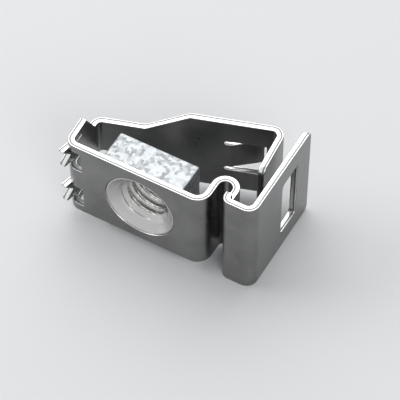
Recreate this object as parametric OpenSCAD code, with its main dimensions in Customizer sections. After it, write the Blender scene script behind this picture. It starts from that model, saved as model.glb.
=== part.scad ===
// Rack cage nut: a folded spring-steel strip that carries a riveted square nut.
//
// The strip is one piece. It is described from the middle of its front wall
// outwards, as walls joined by bends, first to the left and round the back,
// then to the right over the groove loop to the release flap.
// The modules measure depth from the front wall's outer face, on the thread axis.
// The finished nodes are then moved so that the origin is on the thread axis,
// midway through the nut. +X to the right, +Y to the back, +Z up.

/* [Strip] */
// Thickness of the spring-steel strip
sheet = 0.8; // [0.6:0.05:1]
// Height of the strip along the front, left and back walls
strip_height = 11.2; // [10.8:0.1:12]
// Height of the strip along the front flange and the release flap
flap_height = 13.6; // [12.4:0.1:14.4]
// Height of the narrowed spring band at the back left
band_height = 5; // [4:0.1:7]
// Inner radius of the bends at the cage's corners and of the flap
bend_r = 0.6; // [0.4:0.05:0.8]

/* [Front wall] */
// Distance from the thread axis to the outer face of the left wall
left_reach = 9.5; // [9.2:0.1:10.5]
// Distance from the thread axis to the outer face of the groove's near leg
right_reach = 8.15; // [7.9:0.05:9]
// Inner radius of the wide bend at the right end of the front wall
corner_r = 1; // [0.8:0.05:1.2]
// Diameter of the hole that the nut's collar is riveted into
collar_hole_d = 8.7; // [8.4:0.1:9.2]

/* [Left and back walls] */
// Outward lean of the left wall
left_lean = 4; // [0:0.5:8]
// Distance along the thread axis to the middle of the back wall
back_reach = 9.95; // [9.5:0.05:11]
// Angle of the back wall to the front wall
back_angle = 18.1; // [15:0.1:20]
// Length of full height on the left wall, measured from the front bend
left_full = 2.6; // [2.2:0.1:2.9]
// Run of the slope down to the narrowed band on the left wall
left_slope = 1.85; // [1.5:0.05:1.9]
// Distance along the back wall from the thread axis, leftwards, to the band's end
band_end = 4.4; // [3.8:0.1:5]
// Distance along the back wall from the thread axis, rightwards, to full height
rise_end = 0.75; // [0:0.05:2]

/* [Right side wall] */
// Distance from the thread axis to the middle of the side wall's corner
side_reach = 10.7; // [10.3:0.05:11]
// Lean of the side wall towards the flap
side_lean = 4.5; // [2:0.5:6]
// Straight length of the side wall
side_length = 5.1; // [4:0.1:5.5]
// Radius of the rounded corners at the side wall's free end
side_corner_r = 1.1; // [0.6:0.1:1.5]

/* [Groove loop] */
// Clear width of the groove between the loop's legs
groove_width = 1.6; // [1.4:0.05:1.8]
// Straight length of the loop's near leg
leg_length = 1.5; // [1.2:0.05:2]
// Straight length of the far leg that already has the flap's height
leg_wide = 0.4; // [0.3:0.05:0.7]
// Inner radius of the tight bend from the loop to the front flange
tight_r = 0.2; // [0.15:0.05:0.3]

/* [Flange and flap] */
// Setback of the front flange's outer face behind the front wall's outer face
flange_setback = 0.65; // [0.4:0.05:0.8]
// Distance from the thread axis to the outer face of the release flap
flap_reach = 13.85; // [13.5:0.05:14.2]
// Straight length of the release flap
flap_length = 11.75; // [10.5:0.05:13]
// Radius of the flap's free corners
flap_corner_r = 0.6; // [0.4:0.1:1.2]
// Width of the tool window in the flap
window_width = 3.4; // [2.5:0.1:4]
// Height of the tool window in the flap
window_height = 8.4; // [7:0.1:9]
// Distance from the start of the flap to the middle of its window
window_place = 7; // [6.5:0.1:7.5]
// Radius of the tool window's corners
window_r = 0.3; // [0.2:0.05:0.5]

/* [Contact claws] */
// Height of the corner windows that the claws stand in
claw_window = 3; // [2.6:0.1:3.2]
// Distance between the middles of the two corner windows
claw_pitch = 6.1; // [5.6:0.1:6.4]
// Side clearance between a claw and its window
claw_gap = 0.2; // [0.1:0.05:0.3]
// Distance from the thread axis to the window's end in the front wall
claw_window_end = 7.35; // [7.1:0.05:7.6]
// Length of the side slits in the left wall, measured from the front bend
claw_slit = 1.4; // [1:0.1:1.6]
// Length of a claw from the root of its slits to its outward bend
claw_straight = 0.9; // [0.7:0.05:1.2]
// Length of a claw from its outward bend to its tips
claw_length = 2.2; // [1.9:0.05:2.4]
// Outward bend of the claws from the left wall
claw_lean = 17.5; // [8:0.5:22]
// Depth of the notch that gives each claw its two teeth
notch_depth = 1.05; // [0.7:0.05:1.1]

/* [Spring tongue] */
// Distance along the back wall from the thread axis to the tongue's bend
tongue_place = 5.35; // [5:0.05:5.6]
// Length of the tongue
tongue_length = 3.8; // [3:0.1:4]
// Height of the tongue
tongue_height = 3.8; // [3:0.1:4]
// Width of the slits above and below the tongue
tongue_slit = 0.6; // [0.4:0.05:0.8]
// Length that the slits run past the tongue's bend
tongue_relief = 0.7; // [0.6:0.05:1]
// Outward bend of the tongue from the back wall
tongue_angle = 22; // [10:1:28]

/* [Square nut] */
// Width across the flats of the square nut
nut_side = 10; // [9.6:0.1:10.2]
// Thickness of the square nut
nut_thickness = 4; // [3.2:0.1:4.3]
// Bevel along the square nut's edges
nut_bevel = 0.2; // [0.1:0.05:0.3]
// Minor diameter of the M6 thread
thread_minor_d = 5; // [4.9:0.05:5.15]
// Radial clearance of the nut's collar in the hole of the front wall
collar_gap = 0.05; // [0.02:0.01:0.08]
// Width of the collar's riveted rim
collar_rim = 0.2; // [0.15:0.05:0.3]
// Depth of the collar's rim below the wall's outer face
collar_sink = 0.1; // [0.05:0.05:0.2]
// Mouth diameter of the collar's flared seat at the nut's front face
flare_d = 6.5; // [6.3:0.1:6.8]

/* [Hidden] */
$fn = 96;
strip_half = strip_height / 2;
flap_half = flap_height / 2;
band_half = band_height / 2;
mid_r = bend_r + sheet / 2;
corner_mid_r = corner_r + sheet / 2;
crown_mid_r = (groove_width + sheet) / 2;
tight_mid_r = tight_r + sheet / 2;
// Headings of the walls, in degrees from +X
left_heading = 90 + left_lean;
side_heading = side_lean - 90;
// Turns of the two bends at the back, both clockwise
back_turn = left_heading - back_angle;
side_turn = back_angle - side_heading;
// Ends of the front wall's straight part
front_left_x = -left_reach + bend_r + sheet;
front_right_x = right_reach - corner_r - sheet;
claw_half = claw_window / 2 - claw_gap;
window_half = claw_window / 2;
cut = 1;
// Overlap of a wall into the bends at its ends, so that the strip is one solid
lap = 0.02;
nut_back_y = sheet + nut_thickness;
origin_y = sheet + nut_thickness / 2;
collar_r = collar_hole_d / 2 - collar_gap;
thread_chamfer = (flare_d - thread_minor_d) / 2;

// Point reached from p along a heading
function ahead(p, heading, length) = p + length * [cos(heading), sin(heading)];
// Centre of a bend that starts at p; turn is positive to the left
function bend_centre(p, heading, turn, r) = ahead(p, heading + 90 * sign(turn), r);
// Point reached from p through a bend
function after_bend(p, heading, turn, r) =
    ahead(bend_centre(p, heading, turn, r), heading + turn - 90 * sign(turn), r);
// Point where two plan lines cross, each given by a point and a heading
function crossing(p, a, q, b) =
    let (d = q - p) ahead(p, a, (d.x * sin(b) - d.y * cos(b)) / sin(b - a));
// Straight length that a bend takes from each of its two walls
function setback(turn, r) = r * tan(turn / 2);

// Stations of the strip, on the middle of its thickness
front_left = [front_left_x, sheet / 2];
left_start = after_bend(front_left, 180, left_heading - 180, mid_r);
back_left = crossing(left_start, left_heading, [0, back_reach], back_angle);
left_length = norm(back_left - left_start) - setback(back_turn, mid_r);
left_end = ahead(left_start, left_heading, left_length);
back_start = after_bend(left_end, left_heading, -back_turn, mid_r);
back_axis = [0, back_reach];
back_right = ahead(back_axis, back_angle, side_reach / cos(back_angle));
back_before = norm(back_axis - back_start);
back_after = norm(back_right - back_axis) - setback(side_turn, mid_r);
back_end = ahead(back_axis, back_angle, back_after);
side_start = after_bend(back_end, back_angle, -side_turn, mid_r);
front_right = [front_right_x, sheet / 2];
near_leg = after_bend(front_right, 0, 90, corner_mid_r);
crown = ahead(near_leg, 90, leg_length);
far_leg = after_bend(crown, 90, -180, crown_mid_r);
far_leg_length = far_leg.y - flange_setback - sheet / 2 - tight_mid_r;
tight = ahead(far_leg, -90, far_leg_length);
flange_start = after_bend(tight, -90, 90, tight_mid_r);
flange_length = flap_reach - sheet - bend_r - flange_start.x;
flange_end = ahead(flange_start, 0, flange_length);
flap_start = after_bend(flange_end, 0, 90, mid_r);
claw_root = ahead(left_start, left_heading, claw_slit);
claw_knee = ahead(claw_root, left_heading + 180, claw_straight);
tongue_root = ahead(back_axis, back_angle, tongue_place);

// Moves a finished node from the working origin to the part's origin
module to_origin() translate([0, -origin_y, 0]) children();

// Puts children at a station, with local +X along the heading
module at(p, heading) translate([p.x, p.y, 0]) rotate([0, 0, heading]) children();

// Straight wall with a side outline given as points of length and height
module wall(outline) rotate([90, 0, 0]) linear_extrude(sheet, center = true) polygon(outline);

// Plain wall of one height
module plain_wall(length, half) translate([0, -sheet / 2, -half]) cube([length, sheet, 2 * half]);

// Bend of constant height that starts at the local origin
module bend(turn, r, half) {
    side = sign(turn);
    translate([0, side * r, 0]) {
        rotate([0, 0, turn > 0 ? -90 : 90 + turn])
            rotate_extrude(angle = abs(turn))
                translate([r - sheet / 2, -half])
                    square([sheet, 2 * half]);
        for (angle = [0, turn + 180]) rotate([0, 0, angle])
            translate([-lap, (angle == 0 ? -side : side) * r - sheet / 2, -half])
                cube([lap, sheet, 2 * half]);
    }
}

// Outline with two rounded corners at its far end, lying along +X
module rounded_end(length, half, r) {
    square_part = length - r;
    translate([0, -half]) square([square_part, 2 * half]);
    translate([0, r - half]) square([length, 2 * (half - r)]);
    for (side = [-1, 1]) translate([square_part, side * (half - r)]) circle(r);
}

// Rectangle with rounded corners, centred on the local origin
module rounded_window(width, height, r) {
    square([width - 2 * r, height], center = true);
    square([width, height - 2 * r], center = true);
    for (x = [-1, 1], y = [-1, 1])
        translate([x * (width / 2 - r), y * (height / 2 - r)]) circle(r);
}

// Stands a flat outline up as a wall, or as a cutter when it is thicker
module upright(thickness) rotate([90, 0, 0]) linear_extrude(thickness, center = true) children();

// Front wall between its two bends
module front_wall() at(front_left, 0) plain_wall(front_right_x - front_left_x, strip_half);

// Left wall, which slopes down to the narrowed band on its top and bottom edge
module left_wall() at(left_start, left_heading) wall([
    [0, -strip_half],
    [left_full, -strip_half],
    [left_full + left_slope, -band_half],
    [left_length, -band_half],
    [left_length, band_half],
    [left_full + left_slope, band_half],
    [left_full, strip_half],
    [0, strip_half]
]);

// Back wall, which rises from the narrowed band to full height
module back_wall() at(back_axis, back_angle) wall([
    [-back_before, -band_half],
    [-band_end, -band_half],
    [rise_end, -strip_half],
    [back_after, -strip_half],
    [back_after, strip_half],
    [rise_end, strip_half],
    [-band_end, band_half],
    [-back_before, band_half]
]);

// Side wall with its rounded free end
module side_wall() at(side_start, side_heading)
    upright(sheet) rounded_end(side_length, strip_half, side_corner_r);

// Loop that forms the groove, from the front wall to the front flange
module groove_loop() {
    at(front_right, 0) bend(90, corner_mid_r, strip_half);
    at(near_leg, 90) plain_wall(leg_length, strip_half);
    at(crown, 90) bend(-180, crown_mid_r, strip_half);
    at(far_leg, -90) wall([
        [0, -strip_half],
        [far_leg_length - leg_wide, -strip_half],
        [far_leg_length - leg_wide, -flap_half],
        [far_leg_length, -flap_half],
        [far_leg_length, flap_half],
        [far_leg_length - leg_wide, flap_half],
        [far_leg_length - leg_wide, strip_half],
        [0, strip_half]
    ]);
    at(tight, -90) bend(90, tight_mid_r, flap_half);
}

// Front flange and the release flap with its tool window
module release_flap() {
    at(flange_start, 0) plain_wall(flange_length, flap_half);
    at(flange_end, 0) bend(90, mid_r, flap_half);
    at(flap_start, 90) upright(sheet) difference() {
        rounded_end(flap_length, flap_half, flap_corner_r);
        translate([window_place, 0]) rounded_window(window_width, window_height, window_r);
    }
}

// Space of one corner window: through the front bend and into both walls
module claw_opening() {
    reach = front_left_x + claw_window_end;
    at(claw_root, left_heading + 180)
        translate([0, -sheet / 2 - cut, -window_half])
            cube([claw_slit, sheet + 2 * cut, claw_window]);
    translate([-left_reach - cut, -cut, -window_half])
        cube([left_reach + cut - claw_window_end, left_start.y + cut, claw_window]);
}

// Sharp bend of one height in the sheet, at the local origin
module knee(half) cylinder(h = 2 * half, d = sheet, center = true);

// One claw: a tab bent outwards, with a notched end that gives it two teeth
module claw() {
    at(claw_root, left_heading + 180) translate([-lap, 0, 0])
        plain_wall(claw_straight + lap, claw_half);
    at(claw_knee, 0) knee(claw_half);
    at(claw_knee, left_heading + 180 - claw_lean)
        upright(sheet) difference() {
            translate([0, -claw_half]) square([claw_length, 2 * claw_half]);
            polygon([
                [claw_length - notch_depth, 0],
                [claw_length + cut, notch_depth + cut],
                [claw_length + cut, -notch_depth - cut]
            ]);
        }
}

// Hole in the back wall round the spring tongue
module tongue_opening() {
    height = tongue_height + 2 * tongue_slit;
    slit_middle = (tongue_height + tongue_slit) / 2;
    at(tongue_root, back_angle) upright(sheet + 2 * cut) {
        translate([0, -height / 2]) square([tongue_length + tongue_slit / 2, height]);
        for (side = [-1, 1]) translate([0, side * slit_middle]) {
            far = tongue_relief - tongue_slit / 2;
            translate([-far, -tongue_slit / 2]) square([far, tongue_slit]);
            translate([-far, 0]) circle(tongue_slit / 2);
        }
    }
}

// Spring tongue, bent outwards from the back wall
module tongue() at(tongue_root, back_angle) {
    knee(tongue_height / 2);
    rotate([0, 0, tongue_angle]) plain_wall(tongue_length, tongue_height / 2);
}

module spring_cage() color([0.35, 0.35, 0.35]) to_origin() {
    difference() {
        union() {
            front_wall();
            at(front_left, 180) bend(left_heading - 180, mid_r, strip_half);
            left_wall();
            at(left_end, left_heading) bend(-back_turn, mid_r, band_half);
            back_wall();
            at(back_end, back_angle) bend(-side_turn, mid_r, strip_half);
            side_wall();
            groove_loop();
            release_flap();
        }
        rotate([-90, 0, 0]) translate([0, 0, -cut]) cylinder(h = sheet + 2 * cut, d = collar_hole_d);
        for (side = [-1, 1]) translate([0, 0, side * claw_pitch / 2]) claw_opening();
        tongue_opening();
    }
    for (side = [-1, 1]) translate([0, 0, side * claw_pitch / 2]) claw();
    tongue();
}

// Square with its corners cut at 45 degrees
module bevelled(width, height) {
    w = width / 2;
    h = height / 2;
    c = nut_bevel;
    polygon([
        [c - w, -h], [w - c, -h], [w, c - h], [w, h - c],
        [w - c, h], [c - w, h], [-w, h - c], [-w, c - h]
    ]);
}

// Nut body, centred on the local origin with its thickness along local Z
module nut_body() intersection() {
    linear_extrude(nut_thickness, center = true) bevelled(nut_side, nut_side);
    upright(nut_side) bevelled(nut_side, nut_thickness);
    rotate([0, 0, 90]) upright(nut_side) bevelled(nut_side, nut_thickness);
}

// Collar that stands in the wall's hole, riveted to a thin flared rim
module nut_collar() rotate_extrude() polygon([
    [thread_minor_d / 2, collar_sink],
    [collar_r, collar_sink],
    [collar_r, sheet + nut_bevel],
    [thread_minor_d / 2, sheet + nut_bevel]
]);

// Space of the flared seat, the thread's two chamfers and its bore
module nut_bore() {
    bore_r = thread_minor_d / 2;
    flare_r = flare_d / 2;
    rotate_extrude() polygon([
        [0, -cut],
        [collar_r - collar_rim, -cut],
        [collar_r - collar_rim, collar_sink],
        [flare_r, sheet],
        [bore_r, sheet + thread_chamfer],
        [bore_r, nut_back_y - thread_chamfer],
        [flare_r, nut_back_y],
        [flare_r, nut_back_y + cut],
        [0, nut_back_y + cut]
    ]);
}

module square_nut() color([0.72, 0.75, 0.77]) to_origin() rotate([-90, 0, 0]) difference() {
    union() {
        translate([0, 0, sheet + nut_thickness / 2]) nut_body();
        nut_collar();
    }
    nut_bore();
}

spring_cage();
square_nut();
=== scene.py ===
"""Dresses the rack cage nut: a folded spring-steel cage round a riveted square nut."""

import logging
import math
from dataclasses import dataclass, field
from enum import Enum
from typing import Callable

import bmesh
import bpy
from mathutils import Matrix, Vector
from mathutils.geometry import intersect_line_line_2d

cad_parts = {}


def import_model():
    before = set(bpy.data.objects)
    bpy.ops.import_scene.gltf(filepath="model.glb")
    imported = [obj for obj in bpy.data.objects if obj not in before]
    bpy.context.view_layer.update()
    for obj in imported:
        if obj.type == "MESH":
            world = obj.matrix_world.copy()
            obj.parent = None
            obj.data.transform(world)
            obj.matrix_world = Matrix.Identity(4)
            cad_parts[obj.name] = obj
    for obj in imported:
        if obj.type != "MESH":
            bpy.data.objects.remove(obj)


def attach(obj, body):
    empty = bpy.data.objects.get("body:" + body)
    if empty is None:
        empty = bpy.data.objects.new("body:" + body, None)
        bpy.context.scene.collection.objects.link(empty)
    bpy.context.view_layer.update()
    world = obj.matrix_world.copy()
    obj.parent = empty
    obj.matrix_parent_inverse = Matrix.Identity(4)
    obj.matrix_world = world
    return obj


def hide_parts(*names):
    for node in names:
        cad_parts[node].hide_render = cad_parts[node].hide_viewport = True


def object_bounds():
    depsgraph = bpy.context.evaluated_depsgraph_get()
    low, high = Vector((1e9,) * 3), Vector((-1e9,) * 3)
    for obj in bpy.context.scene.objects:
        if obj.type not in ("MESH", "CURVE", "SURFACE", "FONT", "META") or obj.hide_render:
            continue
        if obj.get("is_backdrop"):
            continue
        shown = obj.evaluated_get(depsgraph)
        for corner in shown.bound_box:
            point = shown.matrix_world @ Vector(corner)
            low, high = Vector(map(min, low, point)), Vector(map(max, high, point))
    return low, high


LOG = logging.getLogger("rack_cage_nut")
MM = 0.001
BLANK = "blank"
CUT_DIST = 1e-5
TOUCH = 1e-4
NEAR = 1e-3
LINE_REACH = 99.0
SCOOP_CUTS = 5
SCOOP_INSIDE = 0.9
CLOUD_SCALE = 260.0
GRAIN_SCALE = 5200.0

Test = Callable[[Vector], bool]
Edges = list[bmesh.types.BMEdge]
Colour = tuple[float, float, float, float]


class Slot(Enum):
    """The record's material slots."""

    CAGE = "plated_spring_steel"
    NUT = "galvanised_steel"


class Side(Enum):
    """The side of the front wall's middle that a run of the strip lies on."""

    LEFT = -1
    RIGHT = 1


# --------------------------------------------------------------------------
# Plan of the folded strip
# --------------------------------------------------------------------------


def heading_vector(heading: float) -> Vector:
    """Returns the plan unit vector of a heading in degrees from +X."""
    angle = math.radians(heading)
    return Vector((math.cos(angle), math.sin(angle)))


@dataclass
class Run:
    """One straight wall or one bend of the strip, on the middle of its thickness.

    A straight run has a length; a bend has a turn in degrees, positive to the
    left, and the radius of its middle line.
    """

    start: Vector
    heading: float
    length: float
    turn: float = 0.0
    radius: float = 0.0

    def at(self, s: float, across: float) -> Vector:
        """Returns the plan point at a length along the run.

        Args:
            s: Length from the run's start, in mm.
            across: Distance to the right of the middle line, in mm.

        Returns:
            The point in plan.
        """
        if not self.turn:
            ahead = heading_vector(self.heading)
            return self.start + ahead * s + heading_vector(self.heading - 90) * across
        hand = math.copysign(1.0, self.turn)
        centre = self.start + heading_vector(self.heading + 90 * hand) * self.radius
        swept = self.heading + hand * math.degrees(s / self.radius) - 90 * hand
        return centre + heading_vector(swept) * (self.radius + hand * across)

    def end(self) -> tuple[Vector, float]:
        """Returns the point and the heading at the run's end."""
        return self.at(self.length, 0.0), self.heading + self.turn


@dataclass
class StripPath:
    """A chain of runs that leads away from a start point."""

    start: Vector
    heading: float
    side: Side
    runs: list[Run] = field(default_factory=list)

    def tip(self) -> tuple[Vector, float]:
        """Returns the point and heading at the chain's end."""
        return self.runs[-1].end() if self.runs else (self.start, self.heading)

    def wall(self, length: float) -> None:
        """Adds a straight wall."""
        point, heading = self.tip()
        self.runs.append(Run(point, heading, length))

    def bend(self, turn: float, radius: float) -> float:
        """Adds a bend.

        Args:
            turn: The turn in degrees, positive to the left.
            radius: The radius of its middle line, in mm.

        Returns:
            The chain's length at the bend's end.
        """
        point, heading = self.tip()
        arc = math.radians(abs(turn)) * radius
        self.runs.append(Run(point, heading, arc, turn, radius))
        return self.length()

    def length(self) -> float:
        """Returns the whole length of the chain."""
        return sum(run.length for run in self.runs)

    def place(self, s: float, across: float) -> Vector:
        """Returns the plan point at a length along the chain.

        Args:
            s: Length along the chain, in mm.
            across: Distance towards the strip's outer face, in mm.

        Returns:
            The point in plan, in mm.
        """
        right = across * self.side.value
        for run in self.runs[:-1]:
            if s <= run.length:
                return run.at(s, right)
            s -= run.length
        return self.runs[-1].at(s, right)


def crossing(p: Vector, a: float, q: Vector, b: float) -> Vector:
    """Finds where two lines cross.

    Args:
        p: A point on the first line.
        a: The first line's heading.
        q: A point on the second line.
        b: The second line's heading.

    Returns:
        The point where they cross.
    """
    first, second = heading_vector(a) * LINE_REACH, heading_vector(b) * LINE_REACH
    return intersect_line_line_2d(p - first, p + first, q - second, q + second)


@dataclass
class StripPlan:
    """The folded strip's sizes, in mm and degrees, and its two paths."""

    sheet: float = 0.8
    strip_half: float = 5.6
    flap_half: float = 6.8
    band_half: float = 2.5
    bend_r: float = 1.0
    corner_r: float = 1.4
    crown_r: float = 1.2
    tight_r: float = 0.6
    left_reach: float = 9.5
    right_reach: float = 8.15
    left_lean: float = 4.0
    left_full: float = 2.6
    left_slope: float = 1.85
    back_reach: float = 9.95
    back_angle: float = 18.1
    band_end: float = 4.4
    rise_end: float = 0.75
    side_reach: float = 10.7
    side_lean: float = 4.5
    side_length: float = 5.1
    side_corner_r: float = 1.1
    leg_length: float = 1.5
    leg_wide: float = 0.4
    flange_setback: float = 0.65
    flap_reach: float = 13.85
    flap_length: float = 11.75
    flap_corner_r: float = 0.6
    origin_y: float = 2.8

    def __post_init__(self) -> None:
        """Folds both paths and notes the stations along them."""
        middle = Vector((0.0, self.sheet / 2))
        self.right = StripPath(middle, 0.0, Side.RIGHT)
        self.left = StripPath(middle, 180.0, Side.LEFT)
        self._fold_right()
        self._fold_left()

    def _fold_right(self) -> None:
        """Folds the loop, the flange and the flap."""
        path = self.right
        half = self.sheet / 2
        path.wall(self.right_reach - half - self.corner_r)
        path.bend(90, self.corner_r)
        path.wall(self.leg_length)
        path.bend(-180, self.crown_r)
        far_top = path.tip()[0].y
        path.wall(far_top - self.flange_setback - half - self.tight_r)
        self.tight_start = path.length()
        path.bend(90, self.tight_r)
        path.wall(self.flap_reach - half - self.bend_r - path.tip()[0].x)
        self.flap_start = path.bend(90, self.bend_r)
        path.wall(self.flap_length)

    def _fold_left(self) -> None:
        """Folds the left wall, the back wall and the side wall."""
        path = self.left
        left_heading = 90 + self.left_lean
        side_heading = self.side_lean - 90
        path.wall(self.left_reach - self.sheet / 2 - self.bend_r)
        self.left_start = path.bend(left_heading - 180, self.bend_r)
        start = path.tip()[0]
        axis = Vector((0.0, self.back_reach))
        corner = crossing(start, left_heading, axis, self.back_angle)
        turn = left_heading - self.back_angle
        setback = self.bend_r * math.tan(math.radians(turn / 2))
        path.wall((corner - start).length - setback)
        path.bend(-turn, self.bend_r)
        self.back_axis = path.length() + (axis - path.tip()[0]).length
        side_turn = self.back_angle - side_heading
        reach = self.side_reach / math.cos(math.radians(self.back_angle))
        trim = self.bend_r * math.tan(math.radians(side_turn / 2))
        path.wall((axis - path.tip()[0]).length + reach - trim)
        path.bend(-side_turn, self.bend_r)
        path.wall(self.side_length)

    def place(self, blank: Vector) -> Vector:
        """Returns where a point of the flat blank goes when the strip is folded.

        Args:
            blank: Length from the thread axis, height and outward offset, in mm.

        Returns:
            The point in the row frame, in mm.
        """
        path = self.right if blank.x >= 0 else self.left
        return self.stand(path.place(abs(blank.x), blank.z), blank.y)

    def stand(self, point: Vector, height: float) -> Vector:
        """Returns the place in the row frame of a plan point at a height, in mm."""
        return Vector((point.x, point.y - self.origin_y, height))


# --------------------------------------------------------------------------
# Flat sheet work
# --------------------------------------------------------------------------


@dataclass
class Sheet:
    """A flat sheet of faces that is sheared, pierced and then given its thickness."""

    bm: bmesh.types.BMesh

    def faces(self, where: Test) -> list[bmesh.types.BMFace]:
        """Returns the faces whose middle passes a test."""
        return [f for f in self.bm.faces if where(f.calc_center_median())]

    def cut(self, point: Vector, normal: Vector, where: Test = lambda c: True) -> None:
        """Cuts the faces that pass a test along the line through a point.

        Args:
            point: A point on the line.
            normal: The line's normal, in the sheet.
            where: The test for a face's middle.
        """
        faces = self.faces(where)
        edges = {e for f in faces for e in f.edges}
        verts = {v for f in faces for v in f.verts}
        bmesh.ops.bisect_plane(
            self.bm, geom=[*verts, *edges, *faces], dist=CUT_DIST,
            plane_co=point, plane_no=normal.normalized(),
        )

    def cut_length(self, s: float, where: Test = lambda c: True) -> None:
        """Cuts across the sheet at a length."""
        self.cut(Vector((s, 0, 0)), Vector((1, 0, 0)), where)

    def cut_height(self, z: float, where: Test = lambda c: True) -> None:
        """Cuts along the sheet at a height."""
        self.cut(Vector((0, z, 0)), Vector((0, 1, 0)), where)

    def remove(self, where: Test) -> None:
        """Deletes the faces whose middle passes a test."""
        bmesh.ops.delete(self.bm, geom=self.faces(where), context="FACES")

    def scoop(self, centre: Vector, radius: float, to: Vector) -> None:
        """Rounds one corner of a window by a row of tangent cuts.

        Args:
            centre: The middle of the corner's arc.
            radius: The arc's radius.
            to: Signs along the length and the height, from the centre to the corner.
        """
        def in_corner(c: Vector) -> bool:
            """Returns whether a point lies in the corner's square."""
            d = c - centre
            return 0 < d.x * to.x < radius and 0 < d.y * to.y < radius

        for i in range(SCOOP_CUTS):
            angle = math.pi / 2 * (i + 0.5) / SCOOP_CUTS
            out = Vector((to.x * math.cos(angle), to.y * math.sin(angle), 0))
            self.cut(centre + out * radius, out, in_corner)
        self.remove(lambda c: in_corner(c) and (c - centre).length < radius * SCOOP_INSIDE)

    def window(self, low: Vector, high: Vector, radius: float) -> None:
        """Pierces a window with rounded corners.

        Args:
            low: The window's lowest length and height.
            high: The window's highest length and height.
            radius: The radius of its corners.
        """
        def near(c: Vector) -> bool:
            """Returns whether a point lies between the window's ends."""
            return low.x < c.x < high.x

        for s in (low.x, low.x + radius, high.x - radius, high.x):
            self.cut_length(s)
        for z in (low.y, low.y + radius, high.y - radius, high.y):
            self.cut_height(z, near)
        middle = (low + high) / 2
        half = (high - low) / 2

        def inside(c: Vector) -> bool:
            """Returns whether a point lies in the window, its corners left out."""
            d = c - middle
            x, y = abs(d.x), abs(d.y)
            if x > half.x or y > half.y:
                return False
            return x < half.x - radius or y < half.y - radius

        self.remove(inside)
        for a in (-1, 1):
            for b in (-1, 1):
                corner = middle + Vector((a * (half.x - radius), b * (half.y - radius), 0))
                self.scoop(corner, radius, Vector((a, b, 0)))

    def merge_points(self) -> None:
        """Joins the points that the cuts leave on top of each other."""
        bmesh.ops.remove_doubles(self.bm, verts=self.bm.verts[:], dist=TOUCH)

    def thicken(self, thickness: float, rim: float, segments: int) -> None:
        """Gives the sheet its thickness and rounds the rims of its sheared edges.

        Args:
            thickness: The sheet's thickness.
            rim: The radius of the rims.
            segments: The number of faces across a rim.
        """
        bm = self.bm
        grown = bmesh.ops.extrude_face_region(bm, geom=bm.faces[:])
        upper = [g for g in grown["geom"] if isinstance(g, bmesh.types.BMVert)]
        bmesh.ops.translate(bm, verts=upper, vec=Vector((0, 0, thickness)))
        bmesh.ops.translate(bm, verts=bm.verts[:], vec=Vector((0, 0, -thickness / 2)))
        bmesh.ops.recalc_face_normals(bm, faces=bm.faces[:])
        bm.normal_update()

        def is_rim(edge: bmesh.types.BMEdge) -> bool:
            """Returns whether an edge joins a broad face and a sheared one."""
            flat = [abs(f.normal.z) > 0.5 for f in edge.link_faces]
            return len(flat) == 2 and flat[0] != flat[1]

        bmesh.ops.bevel(
            bm, geom=[e for e in bm.edges if is_rim(e)], offset=rim, offset_type="OFFSET",
            segments=segments, profile=0.5, affect="EDGES", clamp_overlap=False,
            loop_slide=False, material=-1,
        )


# --------------------------------------------------------------------------
# Shader nodes
# --------------------------------------------------------------------------


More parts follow.
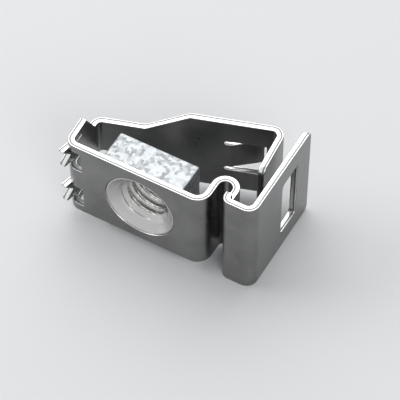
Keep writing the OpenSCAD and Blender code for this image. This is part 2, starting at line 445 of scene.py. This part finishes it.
@dataclass
class Nodes:
    """Adds and joins nodes in one node tree."""

    tree: bpy.types.NodeTree

    def add(self, kind: str, **values: object) -> bpy.types.Node:
        """Adds a node and sets its properties.

        Args:
            kind: The node's type name.
            values: Its properties.

        Returns:
            The new node.
        """
        node = self.tree.nodes.new(kind)
        for name, value in values.items():
            setattr(node, name, value)
        return node

    def join(self, source: object, target: object) -> None:
        """Links an output to an input, or sets the input's value.

        Args:
            source: An output socket, or a plain value.
            target: The input socket.
        """
        if isinstance(source, bpy.types.NodeSocket):
            self.tree.links.new(source, target)
        else:
            target.default_value = source

    def maths(self, operation: str, *inputs: object) -> bpy.types.NodeSocket:
        """Adds a Math node and returns its output.

        Args:
            operation: The node's operation.
            inputs: Output sockets or numbers, in order.

        Returns:
            The node's output.
        """
        node = self.add("ShaderNodeMath", operation=operation)
        for socket, value in zip(node.inputs, inputs):
            self.join(value, socket)
        return node.outputs[0]

    def band(self, value: object, low: float, high: float, a: float = 0.0,
             b: float = 1.0) -> bpy.types.NodeSocket:
        """Returns a smooth step of a value from a at low to b at high.

        Args:
            value: The value that is stepped.
            low: Where the step starts.
            high: Where it ends.
            a: The result at its start.
            b: The result at its end.

        Returns:
            The stepped value.
        """
        node = self.add("ShaderNodeMapRange", interpolation_type="SMOOTHSTEP")
        for name, entry in (("Value", value), ("From Min", low), ("From Max", high),
                            ("To Min", a), ("To Max", b)):
            self.join(entry, node.inputs[name])
        return node.outputs["Result"]

    def mix(self, mask: object, a: object, b: object) -> bpy.types.NodeSocket:
        """Returns the colour a where the mask is 0 and b where it is 1.

        Args:
            mask: The mask.
            a: The colour where it is 0.
            b: The colour where it is 1.

        Returns:
            The mixed colour.
        """
        node = self.add("ShaderNodeMix", data_type="RGBA")
        self.join(mask, node.inputs[0])
        self.join(a, node.inputs[6])
        self.join(b, node.inputs[7])
        return node.outputs[2]

    def blend(self, mask: object, a: object, b: object) -> bpy.types.NodeSocket:
        """Returns the number a where the mask is 0 and b where it is 1.

        Args:
            mask: The mask.
            a: The number where it is 0.
            b: The number where it is 1.

        Returns:
            The mixed number.
        """
        node = self.add("ShaderNodeMix", data_type="FLOAT")
        for socket, entry in zip(node.inputs, (mask, None, a, b)):
            if entry is not None:
                self.join(entry, socket)
        return node.outputs[0]

    def bump(self, height: object, strength: float, depth: float) -> bpy.types.NodeSocket:
        """Returns the normals of a bumped surface.

        Args:
            height: The height's socket.
            strength: The bump's strength.
            depth: The bump's depth, in metres.

        Returns:
            The bumped normals.
        """
        node = self.add("ShaderNodeBump")
        node.inputs["Strength"].default_value = strength
        node.inputs["Distance"].default_value = depth
        self.join(height, node.inputs["Height"])
        return node.outputs["Normal"]

    def noise(self, vector: object, scale: float, detail: float = 2.0,
              stretch: tuple[float, float, float] = (1, 1, 1)) -> bpy.types.NodeSocket:
        """Returns a noise value over a vector.

        Args:
            vector: The coordinates, in metres.
            scale: The noise's scale.
            detail: The number of octaves.
            stretch: Factors on the three coordinates.

        Returns:
            The noise's value.
        """
        place = self.add("ShaderNodeMapping")
        place.inputs["Scale"].default_value = stretch
        self.join(vector, place.inputs["Vector"])
        node = self.add("ShaderNodeTexNoise")
        self.join(place.outputs[0], node.inputs["Vector"])
        node.inputs["Scale"].default_value = scale
        node.inputs["Detail"].default_value = detail
        return node.outputs["Fac"]


def in_metres(span: tuple[float, float]) -> tuple[float, float]:
    """Returns a span in mm as one in metres."""
    return span[0] * MM, span[1] * MM


def plated_cloud_group() -> bpy.types.NodeTree:
    """Returns the shared group that clouds a plated surface and gives it a fine grain."""
    name = "plated_cloud"
    if name in bpy.data.node_groups:
        return bpy.data.node_groups[name]
    tree = bpy.data.node_groups.new(name, "ShaderNodeTree")
    face = tree.interface
    face.new_socket("Vector", in_out="INPUT", socket_type="NodeSocketVector")
    for label in ("Cloud", "Grain"):
        face.new_socket(label, in_out="OUTPUT", socket_type="NodeSocketFloat")
    kit = Nodes(tree)
    start = kit.add("NodeGroupInput")
    stop = kit.add("NodeGroupOutput")
    where = start.outputs["Vector"]
    kit.join(kit.noise(where, CLOUD_SCALE, 3.0), stop.inputs["Cloud"])
    kit.join(kit.noise(where, GRAIN_SCALE), stop.inputs["Grain"])
    return tree


@dataclass(frozen=True)
class SpringSteelFinish:
    """Bright plated spring steel with sheared edges; its faces are painted dark as a painted
    dark reflection, and its sheared edges carry a painted highlight crossed by a painted dark
    reflection line.
    """

    name: str = "plated_spring_steel"
    # Face colours are painted dark: plated spring steel is much lighter, and these stand in for
    # the dark surround its faces reflect (painted dark reflection); the cloud mix between them
    # is random tone.
    face: Colour = (0.2, 0.2, 0.196, 1)
    face_light: Colour = (0.25, 0.25, 0.245, 1)
    # Near white on the sheared edges: a painted highlight, standing for the burnished zone too.
    burnish_and_highlight: Colour = (0.9, 0.9, 0.89, 1)
    # Dark line across the sheared edge: painted dark reflection, standing for the fracture zone
    # too.
    fracture_and_dark_reflection: Colour = (0.2, 0.2, 0.2, 1)
    cloud_span: tuple[float, float] = (0.3, 0.7)
    rough_span: tuple[float, float] = (0.25, 0.75)
    roughness: tuple[float, float] = (0.26, 0.35)
    edge_roughness: float = 0.24
    fracture_roughness: float = 0.22
    sheared_span: tuple[float, float] = (0.37, 0.33)
    fracture_and_dark_reflection_start: tuple[float, float] = (0.08, 0.14)
    fracture_and_dark_reflection_end: tuple[float, float] = (0.33, 0.27)
    ragged: float = 0.1
    ragged_scale: float = 1500.0
    ragged_stretch: tuple[float, float, float] = (1.0, 1.0, 0.2)
    bump: float = 0.12
    bump_depth: float = 0.004

    def build(self) -> bpy.types.Material:
        """Returns the material."""
        material = bpy.data.materials.new(self.name)
        material.use_nodes = True
        kit = Nodes(material.node_tree)
        shader = material.node_tree.nodes["Principled BSDF"]
        shader.inputs["Metallic"].default_value = 1.0
        blank = kit.add("ShaderNodeAttribute", attribute_name=BLANK)
        split = kit.add("ShaderNodeSeparateXYZ")
        kit.join(blank.outputs["Vector"], split.inputs[0])
        across = split.outputs["Z"]
        cloud = kit.add("ShaderNodeGroup", node_tree=plated_cloud_group())
        kit.join(blank.outputs["Vector"], cloud.inputs["Vector"])
        clouded = kit.band(cloud.outputs["Cloud"], *self.cloud_span)
        # Faces: painted dark reflection colour, clouded at random.
        face = kit.mix(clouded, self.face, self.face_light)
        offset = kit.maths("ABSOLUTE", across)
        sheared = kit.band(offset, *in_metres(self.sheared_span))
        ragged = kit.noise(
            blank.outputs["Vector"], self.ragged_scale, stretch=self.ragged_stretch
        )
        line = kit.maths("MULTIPLY_ADD", ragged, self.ragged * MM, across)
        # Mask of the dark line across the sheared edge: painted dark reflection, which also
        # stands for the fracture zone.
        start = kit.band(line, *in_metres(self.fracture_and_dark_reflection_start))
        dark = kit.maths("MULTIPLY", start, kit.band(line, *in_metres(self.fracture_and_dark_reflection_end)))
        # Sheared edges: near-white painted highlight crossed by a painted dark reflection line,
        # which also stand for the burnished and fracture zones.
        edge = kit.mix(dark, self.burnish_and_highlight, self.fracture_and_dark_reflection)
        kit.join(kit.mix(sheared, face, edge), shader.inputs["Base Color"])
        smooth = kit.band(cloud.outputs["Cloud"], *self.rough_span, *self.roughness)
        rough = kit.maths(
            "MULTIPLY_ADD", dark, self.fracture_roughness, self.edge_roughness
        )
        kit.join(kit.blend(sheared, smooth, rough), shader.inputs["Roughness"])
        grain = cloud.outputs["Grain"]
        kit.join(kit.bump(grain, self.bump, self.bump_depth * MM), shader.inputs["Normal"])
        return material


@dataclass(frozen=True)
class GalvanisedFinish:
    """Galvanised steel with a soft spangle, bright on the collar and where the thread is cut."""

    name: str = "galvanised_steel"
    dark: Colour = (0.24, 0.25, 0.257, 1)
    light: Colour = (0.44, 0.46, 0.47, 1)
    cut: Colour = (0.58, 0.575, 0.56, 1)
    collar: float = 4.45
    bore: float = 3.35
    seat: float = -2.0
    seat_step: float = 0.03
    cut_edge: float = 0.1
    flake_scale: float = 2400.0
    flake_share: float = 0.45
    streak_scale: float = 1100.0
    streak_share: float = 0.55
    tone_span: tuple[float, float] = (0.22, 0.72)
    rough_span: tuple[float, float] = (0.2, 0.75)
    roughness: tuple[float, float] = (0.46, 0.34)
    cloud_span: tuple[float, float] = (0.3, 0.7)
    cut_roughness: tuple[float, float] = (0.2, 0.26)
    grain_share: float = 0.4
    bump: float = 0.25
    bump_depth: float = 0.01

    def build(self) -> bpy.types.Material:
        """Returns the material."""
        material = bpy.data.materials.new(self.name)
        material.use_nodes = True
        kit = Nodes(material.node_tree)
        shader = material.node_tree.nodes["Principled BSDF"]
        shader.inputs["Metallic"].default_value = 1.0
        where = kit.add("ShaderNodeTexCoord").outputs["Object"]
        flakes = kit.add("ShaderNodeTexVoronoi")
        flakes.inputs["Scale"].default_value = self.flake_scale
        kit.join(where, flakes.inputs["Vector"])
        tint = kit.add("ShaderNodeSeparateColor")
        kit.join(flakes.outputs["Color"], tint.inputs[0])
        cloud = kit.add("ShaderNodeGroup", node_tree=plated_cloud_group())
        kit.join(where, cloud.inputs["Vector"])
        streak = kit.noise(where, self.streak_scale, 4.0)
        spangle = kit.maths("MULTIPLY_ADD", tint.outputs[0], self.flake_share, 0.0)
        spangle = kit.maths("MULTIPLY_ADD", streak, self.streak_share, spangle)
        skin = kit.mix(kit.band(spangle, *self.tone_span), self.dark, self.light)
        split = kit.add("ShaderNodeSeparateXYZ")
        kit.join(where, split.inputs[0])
        square = kit.maths("MULTIPLY", split.outputs["X"], split.outputs["X"])
        square = kit.maths("MULTIPLY_ADD", split.outputs["Z"], split.outputs["Z"], square)
        radius = kit.maths("SQRT", square)
        limit = kit.band(split.outputs["Y"], (self.seat - self.seat_step) * MM,
                         (self.seat + self.seat_step) * MM, self.collar * MM, self.bore * MM)
        inside = kit.maths("SUBTRACT", limit, radius)
        machined = kit.band(inside, 0.0, self.cut_edge * MM)
        kit.join(kit.mix(machined, skin, self.cut), shader.inputs["Base Color"])
        rough = kit.band(spangle, *self.rough_span, *self.roughness)
        polished = kit.band(cloud.outputs["Cloud"], *self.cloud_span, *self.cut_roughness)
        kit.join(kit.blend(machined, rough, polished), shader.inputs["Roughness"])
        relief = kit.maths("MULTIPLY_ADD", cloud.outputs["Grain"], self.grain_share, spangle)
        kit.join(kit.bump(relief, self.bump, self.bump_depth * MM), shader.inputs["Normal"])
        return material


# --------------------------------------------------------------------------
# Pieces
# --------------------------------------------------------------------------


def finish_piece(bm: bmesh.types.BMesh, name: str, material: bpy.types.Material,
                 node: str, sharp: float) -> bpy.types.Object:
    """Makes a finished piece of a mesh and sets it in the frame.

    Args:
        bm: The mesh, in metres, in the row frame.
        name: The piece's name.
        material: Its material.
        node: The solid it stands for.
        sharp: The angle in degrees past which an edge stays sharp.

    Returns:
        The new object.
    """
    for face in bm.faces:
        face.smooth = True
    bm.normal_update()
    for edge in bm.edges:
        edge.smooth = edge.calc_face_angle(0.0) < math.radians(sharp)
    mesh = bpy.data.meshes.new(name)
    bm.to_mesh(mesh)
    bm.free()
    mesh.materials.append(material)
    piece = bpy.data.objects.new(name, mesh)
    bpy.context.scene.collection.objects.link(piece)
    weighted = piece.modifiers.new("even_faces", "WEIGHTED_NORMAL")
    weighted.keep_sharp = True
    weighted.weight = 100
    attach(piece, "root")
    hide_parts(node)
    LOG.info("%s: %d vertices, %d faces", name, len(mesh.vertices), len(mesh.polygons))
    return piece


@dataclass
class SpringCage:
    """The folded strip: blanked flat, given its thickness, and then bent."""

    plan: StripPlan
    hole_r: float = 4.35
    claw_window_half: float = 1.5
    claw_half: float = 1.3
    claw_place: float = 3.05
    claw_window_end: float = 7.35
    claw_slit: float = 1.4
    claw_straight: float = 0.9
    claw_length: float = 2.2
    claw_lean: float = 17.5
    notch_depth: float = 1.05
    tongue_place: float = 5.35
    tongue_length: float = 3.8
    tongue_half: float = 1.9
    tongue_slit: float = 0.6
    tongue_relief: float = 0.7
    tongue_angle: float = 22.0
    knee_r: float = 0.42
    flap_window_width: float = 3.4
    flap_window_half: float = 4.2
    flap_window_place: float = 7.0
    flap_window_r: float = 0.3
    rim: float = 0.1
    rim_segments: int = 3
    bend_step: float = 6.0
    corner_segments: int = 8
    hole_margin: float = 0.7
    hole_cuts: int = 23
    tongue_lead: float = 0.3
    knee_steps: int = 3
    knee_span: float = 4.0
    sharp: float = 50.0

    def __post_init__(self) -> None:
        """Works out the stations of the claws and the tongue."""
        self.claw_root = -(self.plan.left_start + self.claw_slit)
        self.tongue_root = -(self.plan.back_axis + self.tongue_place)

    def build(self, finish: SpringSteelFinish) -> bpy.types.Object:
        """Builds the whole cage.

        Args:
            finish: The strip's finish.

        Returns:
            The cage's object.
        """
        sheet = Sheet(bmesh.new())
        self._blank(sheet)
        self._claw_windows(sheet)
        self._tongue_window(sheet)
        self._flap_window(sheet)
        self._collar_hole(sheet)
        sheet.merge_points()
        self._round_free_corners(sheet)
        self._bend_lines(sheet)
        sheet.thicken(self.plan.sheet, self.rim, self.rim_segments)
        self._fold(sheet.bm)
        return finish_piece(sheet.bm, "cage_strip", finish.build(), "spring_cage",
                            self.sharp)

    def _blank(self, sheet: Sheet) -> None:
        """Shears the strip's outline.

        Args:
            sheet: The sheet to work on.
        """
        plan = self.plan
        low, high = -plan.left.length(), plan.right.length()
        bmesh.ops.create_grid(sheet.bm, x_segments=1, y_segments=1, size=0.5)
        bmesh.ops.scale(sheet.bm, vec=Vector((high - low, 2 * plan.flap_half, 1)),
                        verts=sheet.bm.verts[:])
        bmesh.ops.translate(sheet.bm, vec=Vector(((high + low) / 2, 0, 0)),
                            verts=sheet.bm.verts[:])
        step = plan.tight_start - plan.leg_wide
        full = -(plan.left_start + plan.left_full)
        slim = full - plan.left_slope
        wide = -(plan.back_axis - plan.band_end)
        rise = -(plan.back_axis + plan.rise_end)
        for s in (step, full, slim, wide, rise):
            sheet.cut_length(s)
        for side in (-1, 1):
            top = side * plan.strip_half
            sheet.cut_height(top, lambda c: c.x < step)
            sheet.remove(lambda c: c.x < step and c.y * side > plan.strip_half)
            band = side * plan.band_half
            sheet.cut_height(band, lambda c: wide < c.x < slim)
            sheet.remove(lambda c: wide < c.x < slim and c.y * side > plan.band_half)
            for a, b in ((full, slim), (rise, wide)):
                self._slope(sheet, Vector((a, top, 0)), Vector((b, band, 0)), side)

    def _slope(self, sheet: Sheet, high: Vector, low: Vector, side: int) -> None:
        """Shears the sheet along one slope and drops what is outside it.

        Args:
            sheet: The sheet to work on.
            high: The slope's end on the full strip's edge.
            low: The slope's end on the band's edge.
            side: 1 for the upper half, -1 for the lower.
        """
        along = low - high
        normal = Vector((-along.y, along.x, 0))
        if normal.y * side < 0:
            normal.negate()
        a, b = sorted((high.x, low.x))

        def here(c: Vector) -> bool:
            """Returns whether a point lies in the slope's length and half."""
            return a < c.x < b and c.y * side > 0

        sheet.cut(high, normal, here)
        sheet.remove(lambda c: here(c) and (c - high).dot(normal) > 0)

    def _claw_windows(self, sheet: Sheet) -> None:
        """Pierces the corner windows round the claws and notches the claws.

        Args:
            sheet: The sheet to work on.
        """
        root = self.claw_root
        end = -self.claw_window_end
        tip = root + self.claw_straight + self.claw_length
        for s in (root, end, tip):
            sheet.cut_length(s)
        for middle in (-self.claw_place, self.claw_place):
            for half in (self.claw_half, self.claw_window_half):
                for z in (middle - half, middle + half):
                    sheet.cut_height(z, lambda c: root < c.x < end)

            def in_window(c: Vector) -> bool:
                """Returns whether a point lies in the corner window."""
                return root < c.x < end and abs(c.y - middle) < self.claw_window_half

            def in_claw(c: Vector) -> bool:
                """Returns whether a point lies on the claw's strip."""
                return root < c.x < tip and abs(c.y - middle) < self.claw_half

            sheet.remove(lambda c: in_window(c) and not in_claw(c))
            notch = Vector((tip - self.notch_depth, middle, 0))
            for side in (-1, 1):
                sheet.cut(notch, Vector((1, -side, 0)), in_claw)
            sheet.remove(lambda c: in_claw(c) and c.x - notch.x > abs(c.y - middle))

    def _tongue_window(self, sheet: Sheet) -> None:
        """Pierces the window and the slits round the spring tongue.

        Args:
            sheet: The sheet to work on.
        """
        root = self.tongue_root
        half = self.tongue_slit / 2
        tip = root - self.tongue_length
        far = tip - half
        slit_end = root + self.tongue_relief - half
        outer = self.tongue_half + self.tongue_slit

        def here(c: Vector) -> bool:
            """Returns whether a point lies in the length of the window and slits."""
            return far < c.x < slit_end + half

        for s in (root, tip, far, slit_end, slit_end + half):
            sheet.cut_length(s)
        for z in (self.tongue_half, self.tongue_half + half, outer):
            for side in (-1, 1):
                sheet.cut_height(side * z, here)
        sheet.remove(lambda c: far < c.x < tip and abs(c.y) < outer)
        sheet.remove(lambda c: far < c.x < slit_end and self.tongue_half < abs(c.y) < outer)
        for side in (-1, 1):
            centre = Vector((slit_end, side * (self.tongue_half + half), 0))
            for b in (-1, 1):
                sheet.scoop(centre, half, Vector((1, b, 0)))

    def _flap_window(self, sheet: Sheet) -> None:
        """Pierces the flap's tool window.

        Args:
            sheet: The sheet to work on.
        """
        middle = self.plan.flap_start + self.flap_window_place
        half = Vector((self.flap_window_width / 2, self.flap_window_half, 0))
        centre = Vector((middle, 0, 0))
        sheet.window(centre - half, centre + half, self.flap_window_r)

    def _collar_hole(self, sheet: Sheet) -> None:
        """Pierces the round hole for the nut's collar.

        Args:
            sheet: The sheet to work on.
        """
        bm = sheet.bm
        panel = self.hole_r + self.hole_margin
        for s in (-panel, panel):
            sheet.cut_length(s)
        for z in (-panel, panel):
            sheet.cut_height(z, lambda c: abs(c.x) < panel)
        [face] = sheet.faces(lambda c: abs(c.x) < panel and abs(c.y) < panel)
        edges = face.edges[:]
        bmesh.ops.delete(bm, geom=[face], context="FACES_ONLY")
        cut = bmesh.ops.subdivide_edges(bm, edges=edges, cuts=self.hole_cuts)
        rim = [e for e in cut["geom_split"] if isinstance(e, bmesh.types.BMEdge)]
        grown = bmesh.ops.extrude_edge_only(bm, edges=rim)
        for vert in grown["geom"]:
            if isinstance(vert, bmesh.types.BMVert):
                vert.co = vert.co.normalized() * self.hole_r

    def _round_free_corners(self, sheet: Sheet) -> None:
        """Rounds the corners at the strip's two free ends.

        Args:
            sheet: The sheet to work on.
        """
        low, high = -self.plan.left.length(), self.plan.right.length()
        for s, radius in ((low, self.plan.side_corner_r), (high, self.plan.flap_corner_r)):
            corners = [v for v in sheet.bm.verts if abs(v.co.x - s) < NEAR]
            bmesh.ops.bevel(
                sheet.bm, geom=corners, offset=radius, offset_type="OFFSET",
                segments=self.corner_segments, profile=0.5, affect="VERTICES",
                clamp_overlap=False, material=-1,
            )

    def _bend_lines(self, sheet: Sheet) -> None:
        """Cuts the blank across wherever it bends.

        Args:
            sheet: The sheet to work on.
        """
        for path in (self.plan.left, self.plan.right):
            s = 0.0
            for run in path.runs:
                if run.turn:
                    steps = max(2, round(abs(run.turn) / self.bend_step))
                    for i in range(steps + 1):
                        sheet.cut_length(path.side.value * (s + run.length * i / steps))
                s += run.length
        claw_knee = self.claw_root + self.claw_straight
        for start, turn, limit in (
            (claw_knee, self.claw_lean, self.claw_place + self.claw_half),
            (self.tongue_root, -self.tongue_angle, self.tongue_half),
        ):
            arc = math.radians(turn) * self.knee_r
            for i in range(self.knee_steps + 1):
                s = start + arc * (i / self.knee_steps - 0.5)
                sheet.cut_length(
                    s, lambda c: abs(c.y) < limit and abs(c.x - start) < self.knee_span
                )

    def _fold(self, bm: bmesh.types.BMesh) -> None:
        """Bends the blank into the cage and keeps each point's place on the flat sheet.

        Args:
            bm: The sheet's mesh, with its thickness.
        """
        layer = bm.verts.layers.float_vector.new(BLANK)
        claws = self._claw_path()
        tongue = self._tongue_path()
        for vert in bm.verts:
            flat = vert.co.copy()
            vert[layer] = flat * MM
            on_claw = (
                flat.x > self.claw_root
                and flat.x < -self.claw_window_end - TOUCH
                and abs(abs(flat.y) - self.claw_place) < self.claw_half + TOUCH
            )
            on_tongue = (
                flat.x < self.tongue_root + self.tongue_lead
                and flat.x > self.tongue_root - self.tongue_length - TOUCH
                and abs(flat.y) < self.tongue_half + TOUCH
            )
            if on_claw:
                point = claws.place(flat.x - self.claw_root, flat.z)
                vert.co = self.plan.stand(point, flat.y) * MM
            elif on_tongue:
                point = tongue.place(self.tongue_root + self.tongue_lead - flat.x, flat.z)
                vert.co = self.plan.stand(point, flat.y) * MM
            else:
                vert.co = self.plan.place(flat) * MM
        bmesh.ops.recalc_face_normals(bm, faces=bm.faces[:])

    def _claw_path(self) -> StripPath:
        """Returns the claws' own path, from the root of their slits to their tips."""
        start = self.plan.left.place(-self.claw_root, 0.0)
        path = StripPath(start, 270 + self.plan.left_lean, Side.RIGHT)
        arc = math.radians(self.claw_lean) * self.knee_r
        path.wall(self.claw_straight - arc / 2)
        path.bend(-self.claw_lean, self.knee_r)
        path.wall(self.claw_length - arc / 2)
        return path

    def _tongue_path(self) -> StripPath:
        """Returns the tongue's own path, from just before its bend to its end."""
        start = self.plan.left.place(-self.tongue_root - self.tongue_lead, 0.0)
        path = StripPath(start, self.plan.back_angle, Side.LEFT)
        arc = math.radians(self.tongue_angle) * self.knee_r
        path.wall(self.tongue_lead - arc / 2)
        path.bend(self.tongue_angle, self.knee_r)
        path.wall(self.tongue_length - arc / 2)
        return path


@dataclass
class SquareNut:
    """The square nut with its cut thread and its riveted collar, in mm."""

    side: float = 10.0
    thickness: float = 4.0
    bevel: float = 0.2
    sheet: float = 0.8
    minor_r: float = 2.5
    major_r: float = 3.0
    pitch: float = 1.0
    flare_r: float = 3.25
    collar_r: float = 4.3
    rim: float = 0.2
    sink: float = 0.1
    segments: int = 96
    bevel_segments: int = 3
    bevel_angle: float = 60.0
    bore_steps: int = 100
    crest: float = 0.125
    flank: float = 0.75
    sharp: float = 40.0

    def build(self, finish: GalvanisedFinish) -> bpy.types.Object:
        """Builds the nut.

        Args:
            finish: The nut's finish.

        Returns:
            The nut's object.
        """
        bm = bmesh.new()
        front, back = self._bore(bm)
        self._body(bm, front, back)
        self._cut_thread(bm)
        bmesh.ops.scale(bm, vec=Vector((MM, MM, MM)), verts=bm.verts[:])
        bmesh.ops.recalc_face_normals(bm, faces=bm.faces[:])
        return finish_piece(bm, "threaded_square_nut", finish.build(),
                            "square_nut", self.sharp)

    def _depth(self, depth: float) -> float:
        """Returns the row frame's Y of a depth behind the front wall's outer face."""
        return depth - self.sheet - self.thickness / 2

    def _profile(self) -> list[tuple[float, float]]:
        """Returns the half section of collar and bore as radius and depth."""
        back = self.sheet + self.thickness
        chamfer = self.flare_r - self.minor_r
        inner = self.collar_r - self.rim
        points = [
            (self.collar_r, self.sheet),
            (self.collar_r, self.sink + 0.08),
            (self.collar_r - 0.03, self.sink + 0.02),
            (self.collar_r - 0.08, self.sink),
            (inner + 0.06, self.sink),
            (inner, self.sink + 0.03),
            (inner - 0.12, self.sink + 0.16),
            (inner - 0.3, self.sink + 0.3),
            (inner - 0.55, self.sink + 0.5),
            (self.flare_r + 0.08, self.sheet - 0.04),
            (self.flare_r, self.sheet),
        ]
        for i in range(1, self.bore_steps):
            depth = self.sheet + self.thickness * i / self.bore_steps
            cone = max(chamfer - (depth - self.sheet), chamfer - (back - depth), 0.0)
            points.append((self.minor_r + cone, depth))
        points.append((self.flare_r, back))
        return points

    def _bore(self, bm: bmesh.types.BMesh) -> tuple[Edges, Edges]:
        """Spins the collar and the bore.

        Args:
            bm: The mesh to add to.

        Returns:
            The edges of the front ring and those of the back ring.
        """
        points = self._profile()
        verts = [bm.verts.new((r, self._depth(d), 0)) for r, d in points]
        edges = [bm.edges.new(pair) for pair in zip(verts, verts[1:])]
        bmesh.ops.spin(
            bm, geom=[*verts, *edges], cent=Vector(), axis=Vector((0, 1, 0)),
            angle=2 * math.pi, steps=self.segments, use_merge=True,
        )
        rings = []
        for depth in (points[0][1], points[-1][1]):
            y = self._depth(depth)
            rings.append([
                e for e in bm.edges
                if len(e.link_faces) == 1 and all(abs(v.co.y - y) < TOUCH for v in e.verts)
            ])
        return rings[0], rings[1]

    def _body(self, bm: bmesh.types.BMesh, front: Edges, back: Edges) -> None:
        """Adds the square body round the bore and breaks its edges.

        Args:
            bm: The mesh to add to.
            front: The edges of the ring in the front face.
            back: The edges of the ring in the back face.
        """
        half = self.side / 2
        for ring in (front, back):
            grown = bmesh.ops.extrude_edge_only(bm, edges=ring)["geom"]
            for vert in grown:
                if isinstance(vert, bmesh.types.BMVert):
                    reach = half / max(abs(vert.co.x), abs(vert.co.z))
                    vert.co = Vector((vert.co.x * reach, vert.co.y, vert.co.z * reach))
            if ring is front:
                edges = [e for e in grown if isinstance(e, bmesh.types.BMEdge)
                         and all(max(abs(v.co.x), abs(v.co.z)) > half - NEAR for v in e.verts)]
                side = bmesh.ops.extrude_edge_only(bm, edges=edges)["geom"]
                far = [v for v in side if isinstance(v, bmesh.types.BMVert)]
                bmesh.ops.translate(bm, verts=far, vec=Vector((0, self.thickness, 0)))
        bmesh.ops.remove_doubles(bm, verts=bm.verts[:], dist=TOUCH)
        bmesh.ops.recalc_face_normals(bm, faces=bm.faces[:])
        bm.normal_update()
        outer = []
        for edge in bm.edges:
            middle = (edge.verts[0].co + edge.verts[1].co) / 2
            if max(abs(middle.x), abs(middle.z)) > half - NEAR:
                if edge.calc_face_angle(0.0) > math.radians(self.bevel_angle):
                    outer.append(edge)
        bmesh.ops.bevel(
            bm, geom=outer, offset=self.bevel, offset_type="OFFSET",
            segments=self.bevel_segments, profile=0.5, affect="EDGES",
            clamp_overlap=False, loop_slide=False, material=-1,
        )

    def _cut_thread(self, bm: bmesh.types.BMesh) -> None:
        """Moves the bore's points out to the groove of the helical thread.

        Args:
            bm: The nut's mesh, in mm.
        """
        depth = self.major_r - self.minor_r
        low, high = self._depth(self.sheet), self._depth(self.sheet + self.thickness)
        for vert in bm.verts:
            x, y, z = vert.co
            radius = math.hypot(x, z)
            if radius > self.flare_r - TOUCH or not low < y < high:
                continue
            phase = ((y - low) / self.pitch + math.atan2(z, x) / (2 * math.pi)) % 1.0
            wave = abs(phase - 0.5) * 2
            groove = min(max((wave - self.crest) / self.flank, 0.0), 1.0)
            moved = max(radius, self.minor_r + depth * groove)
            vert.co = Vector((x * moved / radius, y, z * moved / radius))


# --------------------------------------------------------------------------
# Studio
# --------------------------------------------------------------------------


@dataclass(frozen=True)
class Lamp:
    """One square soft lamp that faces the origin, in metres and watts."""

    name: str
    place: tuple[float, float, float]
    size: float
    power: float


@dataclass
class Studio:
    """The plain pale floor, the soft lights and the camera."""

    floor_colour: Colour = (0.72, 0.725, 0.735, 1)
    sky_colour: Colour = (0.8, 0.81, 0.83, 1)
    azimuth: float = 29.55
    elevation: float = 52.3
    target: tuple[float, float, float] = (0.005569, 0.000956, 0.000665)
    distance: float = 0.23054
    lens: float = 189.0
    floor_size: float = 3.0
    floor_roughness: float = 0.6
    sky_strength: float = 0.5
    lamps: tuple[Lamp, ...] = (
        Lamp("key", (-0.15, 0.27, 0.4), 0.6, 1.7),
        Lamp("side", (-0.45, -0.1, 0.3), 0.35, 1.0),
        Lamp("fill", (0.4, -0.3, 0.35), 0.3, 0.8),
    )

    def build(self, floor_z: float) -> None:
        """Builds the whole studio.

        Args:
            floor_z: The height of the floor.
        """
        self._floor(floor_z)
        self._world()
        self._lamps()
        self._camera()

    def _floor(self, floor_z: float) -> None:
        """Adds the floor.

        Args:
            floor_z: The height of the floor.
        """
        bm = bmesh.new()
        bmesh.ops.create_grid(bm, x_segments=1, y_segments=1, size=self.floor_size)
        bmesh.ops.translate(bm, verts=bm.verts[:], vec=Vector((0, 0, floor_z)))
        mesh = bpy.data.meshes.new("pale_floor")
        bm.to_mesh(mesh)
        bm.free()
        floor = bpy.data.objects.new("pale_floor", mesh)
        bpy.context.scene.collection.objects.link(floor)
        material = bpy.data.materials.new("pale_floor")
        material.use_nodes = True
        shader = material.node_tree.nodes["Principled BSDF"]
        shader.inputs["Base Color"].default_value = self.floor_colour
        shader.inputs["Roughness"].default_value = self.floor_roughness
        mesh.materials.append(material)
        floor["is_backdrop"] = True

    def _world(self) -> None:
        """Sets a plain pale surround."""
        world = bpy.data.worlds.new("studio")
        bpy.context.scene.world = world
        world.use_nodes = True
        kit = Nodes(world.node_tree)
        back = world.node_tree.nodes["Background"]
        back.inputs["Color"].default_value = self.sky_colour
        rays = kit.add("ShaderNodeLightPath")
        seen = kit.maths("MAXIMUM", rays.outputs["Is Camera Ray"], rays.outputs["Is Glossy Ray"])
        kit.join(kit.band(seen, 0.0, 1.0, self.sky_strength, 1.0), back.inputs["Strength"])

    def _lamps(self) -> None:
        """Adds the soft lamps."""
        for lamp in self.lamps:
            light = bpy.data.lights.new(lamp.name, "AREA")
            light.size = lamp.size
            light.energy = lamp.power
            holder = bpy.data.objects.new(lamp.name, light)
            bpy.context.scene.collection.objects.link(holder)
            holder.location = lamp.place
            away = Vector(lamp.place).normalized()
            holder.rotation_euler = away.to_track_quat("Z", "Y").to_euler()

    def _camera(self) -> None:
        """Adds the camera."""
        camera = bpy.data.cameras.new("camera")
        camera.lens = self.lens
        camera.sensor_width = 36.0
        camera.clip_start, camera.clip_end = 0.01, 10.0
        holder = bpy.data.objects.new("camera", camera)
        bpy.context.scene.collection.objects.link(holder)
        a, e = math.radians(self.azimuth), math.radians(self.elevation)
        away = Vector((math.sin(a) * math.cos(e), -math.cos(a) * math.cos(e), math.sin(e)))
        holder.location = Vector(self.target) + away * self.distance
        holder.rotation_euler = away.to_track_quat("Z", "Y").to_euler()
        bpy.context.scene.camera = holder


def main() -> None:
    """Builds the cage, the nut and the studio in order."""
    logging.basicConfig(level=logging.INFO, format="%(name)s: %(message)s")
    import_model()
    cad_low, cad_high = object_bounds()
    SpringCage(StripPlan()).build(SpringSteelFinish())
    SquareNut().build(GalvanisedFinish())
    Studio().build(cad_low.z)
    bpy.context.scene.view_settings.view_transform = "Standard"


if __name__ == "__main__":
    main()
